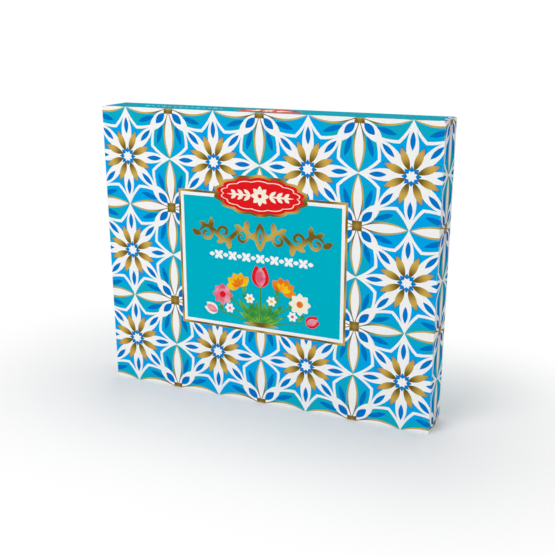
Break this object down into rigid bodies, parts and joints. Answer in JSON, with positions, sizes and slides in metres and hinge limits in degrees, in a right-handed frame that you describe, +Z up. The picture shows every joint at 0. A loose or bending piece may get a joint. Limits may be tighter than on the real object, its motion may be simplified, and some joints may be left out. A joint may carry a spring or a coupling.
{
  "type": "turkish delight box",
  "caption": "Flat folding carton with a hinged telescoping lid, a thermoformed tray under clear film and sugared cubes of turkish delight.",
  "frame": {"origin": "middle of the footprint of the closed carton, on the surface that it stands on", "axes": "+X along the width, +Y from the front panel to the back panel, +Z up"},
  "size_m": [0.25, 0.03, 0.21],
  "materials": {
    "printed_board": "satin",
    "teal_board": "satin",
    "plain_board": "matte",
    "gold_tray": "gloss",
    "clear_film": "gloss",
    "orange_delight": "matte",
    "mint_delight": "matte",
    "rose_delight": "matte",
    "lemon_delight": "matte",
    "pomegranate_delight": "matte"
  },
  "bodies": {
    "base": {"back_panel": "teal_board", "base_bottom_wall": "teal_board", "base_left_wall": "teal_board", "base_right_wall": "teal_board", "base_tab_bottom_left": "plain_board", "base_tab_bottom_right": "plain_board", "base_tab_top_left": "plain_board", "base_tab_top_right": "plain_board", "insert_tray": "gold_tray", "lemon_cube_1": "lemon_delight", "lemon_cube_2": "lemon_delight", "lemon_cube_3": "lemon_delight", "lemon_cube_4": "lemon_delight", "lemon_cube_5": "lemon_delight", "lemon_cube_6": "lemon_delight", "mint_cube_1": "mint_delight", "mint_cube_2": "mint_delight", "mint_cube_3": "mint_delight", "mint_cube_4": "mint_delight", "mint_cube_5": "mint_delight", "mint_cube_6": "mint_delight", "orange_cube_1": "orange_delight", "orange_cube_2": "orange_delight", "orange_cube_3": "orange_delight", "orange_cube_4": "orange_delight", "orange_cube_5": "orange_delight", "orange_cube_6": "orange_delight", "pomegranate_cube_1": "pomegranate_delight", "pomegranate_cube_2": "pomegranate_delight", "pomegranate_cube_3": "pomegranate_delight", "pomegranate_cube_4": "pomegranate_delight", "pomegranate_cube_5": "pomegranate_delight", "pomegranate_cube_6": "pomegranate_delight", "rose_cube_1": "rose_delight", "rose_cube_2": "rose_delight", "rose_cube_3": "rose_delight", "rose_cube_4": "rose_delight", "rose_cube_5": "rose_delight", "rose_cube_6": "rose_delight", "sealing_film": "clear_film", "spine_panel": "teal_board"},
    "lid": {"front_panel": "printed_board", "lid_left_wall": "printed_board", "lid_right_wall": "printed_board", "lid_bottom_wall": "printed_board", "lid_tab_left": "plain_board", "lid_tab_right": "plain_board"}
  },
  "joints": [
    {"name": "lid_hinge", "type": "hinge", "parent": "base", "child": "lid", "pos_m": [0, -0.01475, 0.20975], "axis": [-1, 0, 0], "range_deg": [0, 180]}
  ]
}
